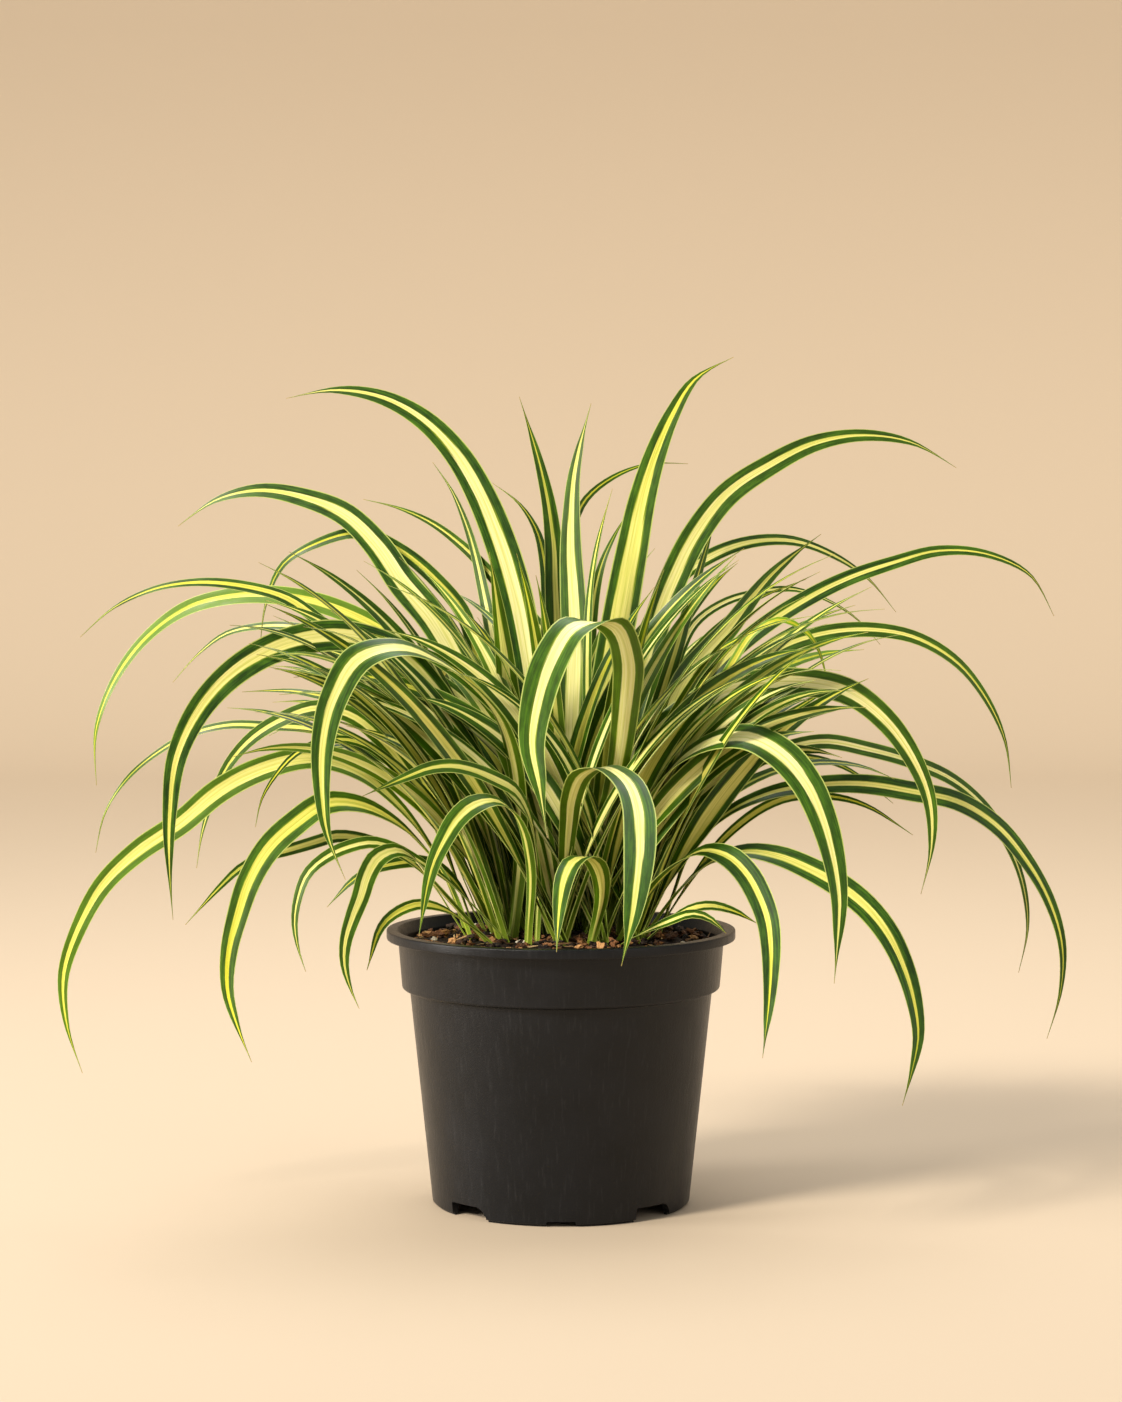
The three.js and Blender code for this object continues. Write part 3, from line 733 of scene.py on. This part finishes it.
cream = mixed(ramped(streaks, 0.35, 0.68), linear("#f0ebb0"), linear("#dedb84"))
yellow = mixed(ramped(streaks, 0.35, 0.68), linear("#dfd83c"), linear("#b4b81c"))
stripe_colour = mixed(gold, cream, yellow)
# Along the midrib the stripe turns darker yellow-green: partly the streak some leaves have there, partly
# painted shade in the crease of the fold.
midrib = ramped(distance, 0.0, 0.07, 0.35, 0.0)
stripe_colour = mixed(midrib, stripe_colour, linear("#a9b03a"))
dark_green = mixed(ramped(mottle, 0.35, 0.68), linear("#183300"), linear("#264b01"))
light_green = mixed(ramped(mottle, 0.35, 0.68), linear("#386301"), linear("#558503"))
vein_mix = ramped(streaks, 0.38, 0.66)
green = mixed(maths("MULTIPLY", vein_mix, 0.5), dark_green, light_green)
green = mixed(depth, green, linear("#739a10"))
# Between the stripe and the green there is often a yellow-green band.
halfway = maths("MULTIPLY", ramped(beyond, 0.0, 0.11, 1.0, 0.0),
                ramped(drift, 0.4, 0.62, 0.1, 0.8))
green = mixed(halfway, green, linear("#8fa61c"))
colour = mixed(green_share, stripe_colour, green)
# A pale line runs along each margin, and the base and the underside are yellower.
margin_line = ramped(maths("ABSOLUTE", across), 0.9, 0.975, 0.0, 0.8)
colour = mixed(margin_line, colour, linear("#c4d070"))
base_pale = ramped(share, 0.0, 0.12, 0.65, 0.0)
colour = mixed(base_pale, colour, linear("#93a834"))
colour = mixed(maths("MULTIPLY", under, 0.16), colour, linear("#7f9a14"))
# The last few millimetres are dry and straw coloured.
dry_tip = ramped(share, 0.98, 1.0, 0.0, 0.6)
colour = mixed(dry_tip, colour, linear("#b08a55"))

veins = add_node(tree, "ShaderNodeBump", {"Height": streaks, "Strength": 0.45, "Distance": 0.12 * MM})
gloss = ramped(mottle, 0.3, 0.7, 0.36, 0.48)
tree.links.new(colour, shader.inputs["Base Color"])
tree.links.new(gloss, shader.inputs["Roughness"])
tree.links.new(veins.outputs[0], shader.inputs["Normal"])
shader.inputs["IOR"].default_value = 1.45
shader.inputs["Subsurface Weight"].default_value = 0.12
shader.inputs["Subsurface Radius"].default_value = (0.9, 1.0, 0.35)
shader.inputs["Subsurface Scale"].default_value = 0.35 * MM
shader.inputs["Specular IOR Level"].default_value = 0.34

# How wide and how yellow the stripe is on leaves that differ from the rest: share of the half
# width, then 0 for cream to 1 for yellow, then 0 for deep green to 1 for pale green margins.
LEAF_LOOKS = {
    "leaf_tall_left_broad": (0.36, 0.1, 0.0),
    "leaf_tall_left_reaching": (0.42, 0.2, 0.0),
    "leaf_tall_right_broad": (0.44, 0.55, 0.05),
    "leaf_high_right_arch": (0.32, 0.3, 0.05),
    "leaf_tall_centre": (0.42, 0.2, 0.1),
    "leaf_left_big_arch": (0.34, 0.35, 0.0),
    "leaf_front_left_fold": (0.36, 0.3, 0.05),
    "leaf_front_centre_fold": (0.36, 0.05, 0.1),
    "leaf_front_centre_broad": (0.32, 0.2, 0.05),
    "leaf_left_lowest_arch": (0.4, 0.5, 0.3),
    "leaf_front_left_low_broad": (0.34, 0.75, 0.1),
    "leaf_left_far_arch": (0.3, 0.8, 0.5),
    "leaf_right_far_arch": (0.22, 0.5, 0.0),
    "leaf_far_right_arch": (0.22, 0.5, 0.0),
    "leaf_right_inner_thread": (0.5, 1.0, 1.0),
    "leaf_front_right_hook": (0.22, 0.7, 0.0),
    "leaf_front_right_low_broad": (0.24, 0.6, 0.0),
    "leaf_right_big_arch": (0.4, 0.05, 0.1),
    "leaf_front_right_fold": (0.34, 0.1, 0.05),
}
COLUMNS = 11
ROW_STEP = 4.5 * MM

rng = random.Random(11)
leaf_nodes = sorted(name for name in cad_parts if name.startswith("leaf_"))
grown = []
for node in leaf_nodes:
    look = LEAF_LOOKS.get(node, (rng.uniform(0.24, 0.42), rng.uniform(0.1, 0.8), rng.uniform(0, 0.12)))
    frames = ring_frames(solid_rings(node))
    blade = blade_from_frames(frames, COLUMNS, ROW_STEP, *look, rng.random())
    grown.append(frames)
    leaf = blades_object(node + "_blade", [blade])
    leaf.data.materials.append(leaf_skin)
    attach(leaf, "root")
    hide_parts(node)


# ==== Inner leaves ====
# Younger and shorter leaves of the same kind fill the heart of the clump, close together and
# fanning out on every side. Past the foot their midribs keep a little apart, but the blades are
# wider than that gap and many of them cross. They are grouped in bunches.

INNER_TARGET = 170
INNER_TRIES = 5000
SHOOT_COUNT = 26
FRONT_SHOOTS = ((0, -40), (19, -36), (36, -28))
SHOOT_GAP = 13 * MM
BUNCH_COUNT = 10
CLEARANCE = 3.8 * MM  # least gap between two midribs
SPINE_STEPS = 40
FOOT_STEPS = 9  # the steps by the shoot, where midribs may be closer than that
RIM_CLEARANCE = 6 * MM
FRONT_REACH = 66 * MM  # the inner leaves keep behind the leaves that fold over the front
FRONT_HALF_WIDTH = 85 * MM
INNER_REACH = 168 * MM  # no inner leaf goes further out from the pot's axis than this
INNER_STEPS = 14
INNER_COLUMNS = 7
INNER_ROW_STEP = 6 * MM
SOIL_Z = MIX_CENTRE_Z - 0.5 * MM

rng = random.Random(23)

# The leaves come up in fans, each from its own shoot.
shoots = [Vector((x * MM, y * MM, SOIL_Z)) for x, y in FRONT_SHOOTS]
while len(shoots) < SHOOT_COUNT:
    radius = (CLUMP_RADIUS - 3 * MM) * math.sqrt(rng.random())
    angle = rng.uniform(0, 2 * math.pi)
    shoot = Vector((radius * math.cos(angle), radius * math.sin(angle), SOIL_Z))
    gap = SHOOT_GAP * (1 - len(shoots) / SHOOT_COUNT / 2)
    if all((shoot - other).length > gap for other in shoots) or rng.random() < 0.02:
        shoots.append(shoot)


def inner_frames():
    """The frames of one candidate leaf, growing outwards from a shoot of the clump."""
    number = rng.randrange(SHOOT_COUNT + 2 * len(FRONT_SHOOTS)) % SHOOT_COUNT
    shoot = shoots[number]
    outward = math.hypot(shoot.x, shoot.y) / CLUMP_RADIUS
    heading = math.atan2(shoot.y, shoot.x) + rng.gauss(0, 0.45 + 0.8 * (1 - outward))
    # The shoots at the front stand up between the folded leaves and arch to either side.
    if number < len(FRONT_SHOOTS):
        outward = 0.35
        heading = rng.choice((0, math.pi)) + rng.gauss(0, 0.4)
    # Leaves that head towards the front stand more upright.
    upright = 1 - 0.45 * max(0, -math.sin(heading))
    lean = math.radians((5 + 38 * outward) * upright + rng.gauss(0, 6))
    length = (rng.uniform(135, 205) + 60 * outward) * MM
    bend = math.radians((rng.uniform(28, 80) + 50 * outward) * upright)
    sway = math.radians(rng.gauss(0, 14))
    # A leaf that grows to either side turns its upper face towards the front.
    roll = math.radians(48 * math.cos(heading) + rng.gauss(0, 20))
    width = rng.uniform(8.5, 14.5) * MM
    point = shoot + Vector((rng.uniform(-3, 3), rng.uniform(-3, 3), 0)) * MM
    frames = []
    for i in range(INNER_STEPS + 1):
        share = i / INNER_STEPS
        tilt = lean + bend * share ** 1.7
        course = heading + sway * share
        ahead = Vector((math.cos(course), math.sin(course), 0))
        tangent = ahead * math.sin(tilt) + Vector((0, 0, math.cos(tilt)))
        side = Vector((-math.sin(course), math.cos(course), 0))
        turn = Matrix.Rotation(roll * smooth_share(share, 0, 0.5), 3, tangent)
        side = turn @ side
        face = tangent.cross(side)
        swell = 0.5 + 0.5 * smooth_share(share, 0, 0.45)
        taper = 1 - max(0, (share - 0.35) / 0.65) ** 1.9
        half = max(0.4 * MM, width / 2 * swell * taper)
        fold = half * (0.45 - 0.27 * min(1, share * 2))
        frames.append((point.copy(), side * half, face * fold))
        point += tangent * (length / INNER_STEPS)
    return frames


def spine_samples(frames):
    """Points along a leaf, close enough to test its clearance."""
    points = [f[0] for f in frames]
    last = len(points) - 1
    return [catmull(points, last * k / SPINE_STEPS) for k in range(SPINE_STEPS + 1)]


taken = [p for frames in grown for p in spine_samples(frames)]
inner = []
for _ in range(INNER_TRIES):
    if len(inner) >= INNER_TARGET:
        break
    frames = inner_frames()
    samples = spine_samples(frames)
    if len(inner) % 5 == 0:
        tree_of_points = KDTree(len(taken))
        for i, point in enumerate(taken):
            tree_of_points.insert(point, i)
        tree_of_points.balance()
        fresh = []
    over_pot = [p for p in samples[FOOT_STEPS:] if math.hypot(p.x, p.y) < RIM_RADIUS + RIM_CLEARANCE]
    clear = all(p.z > POT_HEIGHT + RIM_CLEARANCE for p in over_pot)
    clear = clear and all(p.y > -FRONT_REACH for p in samples if abs(p.x) < FRONT_HALF_WIDTH)
    clear = clear and all(math.hypot(p.x, p.y) < INNER_REACH for p in samples)
    clear = clear and all(tree_of_points.find(p)[2] > CLEARANCE for p in samples[FOOT_STEPS:])
    clear = clear and all((p - q).length > CLEARANCE for p in samples[FOOT_STEPS:] for q in fresh)
    if clear:
        inner.append(frames)
        taken += samples
        fresh += samples

bunches = [[] for _ in range(BUNCH_COUNT)]
for i, frames in enumerate(inner):
    stripe = rng.uniform(0.18, 0.46)
    yellowness = rng.uniform(0.0, 0.8)
    paleness = rng.uniform(0, 0.12) + 0.3 * (rng.random() < 0.15)
    look = (stripe, yellowness, paleness)
    blade = blade_from_frames(frames, INNER_COLUMNS, INNER_ROW_STEP, *look, rng.random())
    bunches[i % BUNCH_COUNT].append(blade)
for i, blades in enumerate(bunches):
    bunch = blades_object(f"inner_leaves_{i + 1}", blades)
    bunch.data.materials.append(leaf_skin)
    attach(bunch, "root")


# ==== Studio ====
# A pale floor that curves up into a pale backdrop. The key light comes from high in front on the
# left, with a low soft light on the left, a weak one on the right, one above and an even surround.

FLOOR_HALF = 5.0
BACKDROP_Y = 4.0
BACKDROP_HEIGHT = 4.5
COVE_RADIUS = 1.2
COVE_STEPS = 16
SURROUND_STRENGTH = 0.42
KEY_STRENGTH = 3.6
KEY_SPREAD = 13  # degrees
KEY_DIRECTION = (1.5, 1.3, -1.5)
# Each soft light: name, place, aim, size, power and colour.
SOFT_LIGHTS = (
    ("side", (-1.5, -0.3, 0.4), (0, 0, 0.15), 0.5, 20, "#fff8f0"),
    ("fill", (1.7, -1.4, 0.9), (0, 0, 0.2), 1.4, 8, "#fff6ea"),
    ("top", (0.1, 0.6, 1.9), (0, 0, 0.2), 1.1, 22, "#ffffff"),
)

profile = [(-FLOOR_HALF, 0.0), (BACKDROP_Y - COVE_RADIUS, 0.0)]
for k in range(1, COVE_STEPS + 1):
    angle = math.pi / 2 * k / COVE_STEPS
    y = BACKDROP_Y - COVE_RADIUS + COVE_RADIUS * math.sin(angle)
    profile.append((y, COVE_RADIUS * (1 - math.cos(angle))))
profile.append((BACKDROP_Y, BACKDROP_HEIGHT))
vertices = [(x, y, z) for y, z in profile for x in (-FLOOR_HALF, FLOOR_HALF)]
faces = [[2 * i, 2 * i + 1, 2 * i + 3, 2 * i + 2] for i in range(len(profile) - 1)]
stage = object_from("floor", vertices, faces)
paper, tree, shader = new_material("pale_backdrop_paper")
shader.inputs["Base Color"].default_value = linear("#c3b29b")
shader.inputs["Roughness"].default_value = 0.9
stage.data.materials.append(paper)

world = bpy.data.worlds.new("surround")
world.use_nodes = True
world.node_tree.nodes["Background"].inputs[0].default_value = linear("#fbf9f6")
world.node_tree.nodes["Background"].inputs[1].default_value = SURROUND_STRENGTH
bpy.context.scene.world = world


def area_light(name, place, aim, size, power, colour):
    """A square soft light at a place, turned to face its aim."""
    data = bpy.data.lights.new(name, "AREA")
    data.size = size
    data.energy = power
    data.color = linear(colour)[:3]
    lamp = bpy.data.objects.new(name, data)
    lamp.location = place
    lamp.rotation_euler = (Vector(aim) - Vector(place)).to_track_quat("-Z", "Y").to_euler()
    bpy.context.scene.collection.objects.link(lamp)


sun = bpy.data.lights.new("key", "SUN")
sun.energy = KEY_STRENGTH
sun.angle = math.radians(KEY_SPREAD)
sun.color = linear("#fff5e6")[:3]
key = bpy.data.objects.new("key", sun)
key.rotation_euler = Vector(KEY_DIRECTION).to_track_quat("-Z", "Y").to_euler()
bpy.context.scene.collection.objects.link(key)
for light in SOFT_LIGHTS:
    area_light(*light)

CAMERA_DISTANCE = 1.56
CAMERA_HEIGHT = 0.3235
CAMERA_PITCH = 2.885  # degrees below level
CAMERA_LENS = 82.5

camera_data = bpy.data.cameras.new("camera")
camera_data.lens = CAMERA_LENS
camera_data.clip_end = 20
camera = bpy.data.objects.new("camera", camera_data)
camera.location = (0, -CAMERA_DISTANCE, CAMERA_HEIGHT)
camera.rotation_euler = (math.radians(90 - CAMERA_PITCH), 0, 0)
bpy.context.scene.collection.objects.link(camera)
bpy.context.scene.camera = camera
bpy.context.scene.view_settings.view_transform = "Standard"
